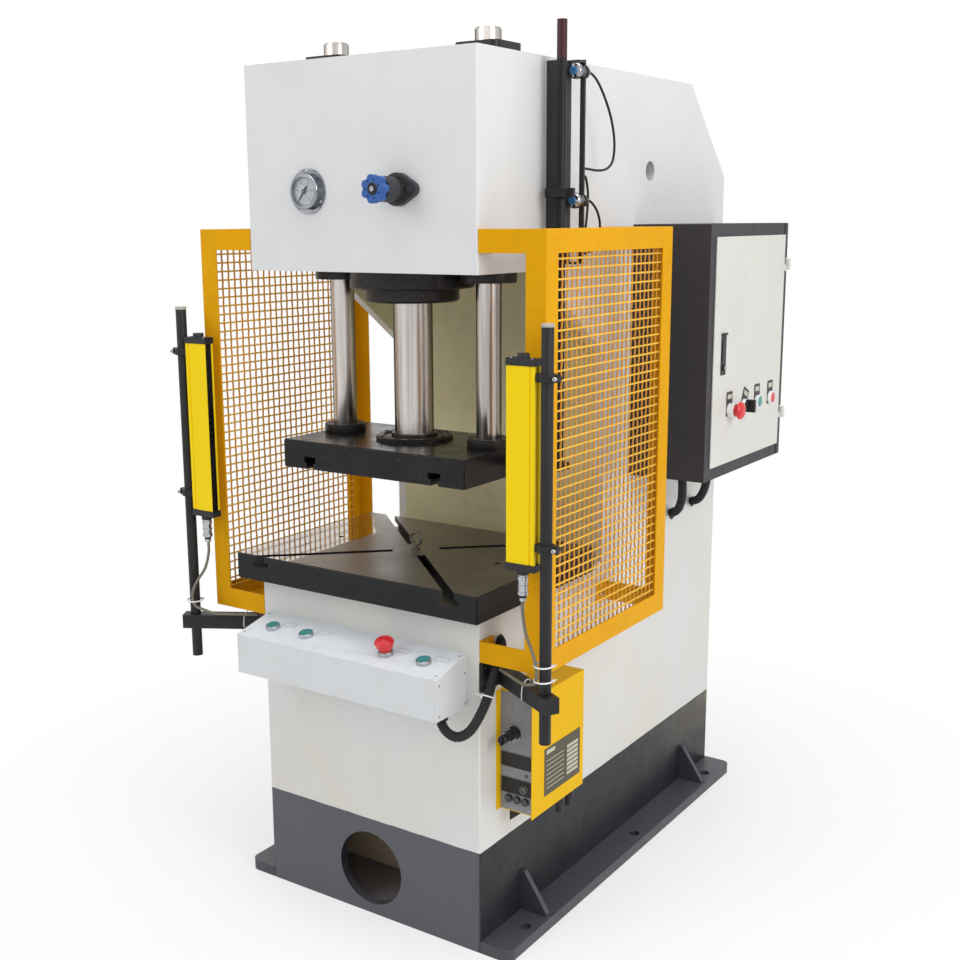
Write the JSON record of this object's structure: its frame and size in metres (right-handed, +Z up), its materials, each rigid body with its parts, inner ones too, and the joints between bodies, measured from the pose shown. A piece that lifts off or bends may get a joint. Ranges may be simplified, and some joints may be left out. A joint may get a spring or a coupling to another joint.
{
  "type": "single column hydraulic press",
  "caption": "C-frame hydraulic press with a guided slide, T-slotted table, mesh side guards, light curtains, two-hand control box and side cabinet.",
  "frame": {"origin": "centre of the four corner anchor holes, on the floor plane under the foot plates", "axes": "+Z up; -Y out of the press's front, where the operator stands; +X towards the side with the cabinet"},
  "size_m": [0.9673, 1.189, 1.788],
  "materials": {
    "body_paint": "satin light grey paint with a dark slate band at the foot",
    "base_paint": "satin dark slate paint",
    "ground_iron": "ground top, blackened sides",
    "plain_steel": "plain steel",
    "black_oxide": "oiled black oxide",
    "hard_chrome": "ground and hard chromed",
    "black_paint": "satin black paint",
    "bright_brass": "nickelled thread",
    "black_plastic": "matt",
    "blue_plastic": "gloss",
    "green_plastic": "gloss",
    "red_plastic": "gloss",
    "grey_plastic": "matt",
    "door_paint": "satin warm white paint",
    "yellow_paint": "satin",
    "orange_paint": "satin orange yellow paint",
    "lemon_paint": "satin lemon yellow paint",
    "grey_paint": "satin",
    "black_rubber": "matt",
    "tank_paint": "semi gloss"
  },
  "bodies": {
    "press_frame": {"side_plates": "body_paint", "head_front_plate": "body_paint", "head_top_plate": "body_paint", "head_bottom_plate": "body_paint", "throat_plate": "body_paint", "bed_plate": "body_paint", "lower_front_plate": "body_paint", "rear_plate": "body_paint", "rear_cover": "body_paint", "foot_plates": "base_paint", "table": "ground_iron", "centre_plug": "ground_iron", "lifting_eye": "plain_steel", "cylinder": "black_oxide", "gland": "black_oxide", "guide_bushes": "black_oxide", "sensor_column": "black_paint", "proximity_sensors": "bright_brass", "gauge_case": "hard_chrome", "valve_body": "black_oxide", "control_box": "body_paint", "control_box_ends": "body_paint", "box_bezels": "hard_chrome", "cabinet_shell": "black_paint", "cabinet_hinges": "door_paint", "switchgear": "grey_plastic", "controller_cover": "yellow_paint", "controller_panel": "grey_paint", "guard_frames": "orange_paint", "guard_meshes": "orange_paint", "light_curtains": "lemon_paint", "curtain_caps": "black_plastic", "curtain_poles": "black_paint", "curtain_arms": "black_paint", "pole_clamps": "black_plastic", "signal_leads": "black_rubber", "flexible_conduits": "black_rubber", "oil_tank": "tank_paint", "motor_pump": "tank_paint"},
    "slide": {"slide_plate": "black_oxide", "piston_rod": "hard_chrome", "ram_flange": "black_oxide", "guide_rods": "hard_chrome", "rod_collars": "black_oxide", "trip_rod": "black_oxide", "trip_dog": "black_oxide"},
    "pointer": {"gauge_pointer": "black_plastic"},
    "handwheel": {"valve_handwheel": "blue_plastic"},
    "left_button": {"button_left": "green_plastic"},
    "middle_button": {"button_middle": "green_plastic"},
    "right_button": {"button_right": "green_plastic"},
    "box_stop": {"stop_mushroom": "red_plastic"},
    "door": {"cabinet_door": "door_paint", "door_bezels": "hard_chrome"},
    "latch": {"door_latch": "black_paint"},
    "door_stop": {"door_mushroom": "red_plastic"},
    "selector": {"door_selector": "black_plastic"},
    "green_start": {"door_green_button": "green_plastic"},
    "red_stop": {"door_red_button": "red_plastic"},
    "key": {"key_switch": "black_plastic"}
  },
  "joints": [
    {"name": "slide_travel", "type": "slide", "parent": "press_frame", "child": "slide", "axis": [0, 0, 1], "range_m": [-0.11, 0.21]},
    {"name": "pointer_turn", "type": "hinge", "parent": "press_frame", "child": "pointer", "pos_m": [-0.116, -0.556, 1.485], "axis": [0, 1, 0], "range_deg": [0, 270], "stiffness_Nm_per_rad": 0.0002},
    {"name": "handwheel_turn", "type": "hinge", "parent": "press_frame", "child": "handwheel", "pos_m": [0.104, -0.61, 1.485], "axis": [0, -1, 0], "range_deg": [-360, 360]},
    {"name": "left_button_push", "type": "slide", "parent": "press_frame", "child": "left_button", "axis": [0, 0.22, -0.9755], "range_m": [0, 0.004], "stiffness_N_per_m": 800, "springref_m": -0.001},
    {"name": "middle_button_push", "type": "slide", "parent": "press_frame", "child": "middle_button", "axis": [0, 0.22, -0.9755], "range_m": [0, 0.004], "stiffness_N_per_m": 800, "springref_m": -0.001},
    {"name": "right_button_push", "type": "slide", "parent": "press_frame", "child": "right_button", "axis": [0, 0.22, -0.9755], "range_m": [0, 0.004], "stiffness_N_per_m": 800, "springref_m": -0.001},
    {"name": "box_stop_push", "type": "slide", "parent": "press_frame", "child": "box_stop", "axis": [0, 0.22, -0.9755], "range_m": [0, 0.0035]},
    {"name": "door_hinge", "type": "hinge", "parent": "press_frame", "child": "door", "pos_m": [0.4613, 0.499, 1.144], "axis": [0, 0, 1], "range_deg": [0, 120]},
    {"name": "latch_swing", "type": "hinge", "parent": "door", "child": "latch", "pos_m": [0.4613, 0.136, 1.185], "axis": [0, -1, 0], "range_deg": [0, 45]},
    {"name": "door_stop_push", "type": "slide", "parent": "door", "child": "door_stop", "axis": [-1, 0, 0], "range_m": [0, 0.0035]},
    {"name": "selector_turn", "type": "hinge", "parent": "door", "child": "selector", "pos_m": [0.4583, 0.258, 1.016], "axis": [1, 0, 0], "range_deg": [-45, 45]},
    {"name": "green_start_push", "type": "slide", "parent": "door", "child": "green_start", "axis": [-1, 0, 0], "range_m": [0, 0.004], "stiffness_N_per_m": 800, "springref_m": -0.001},
    {"name": "red_stop_push", "type": "slide", "parent": "door", "child": "red_stop", "axis": [-1, 0, 0], "range_m": [0, 0.004], "stiffness_N_per_m": 800, "springref_m": -0.001},
    {"name": "key_turn", "type": "hinge", "parent": "press_frame", "child": "key", "pos_m": [0.3075, -0.47, 0.448], "axis": [0, -1, 0], "range_deg": [0, 90]}
  ]
}
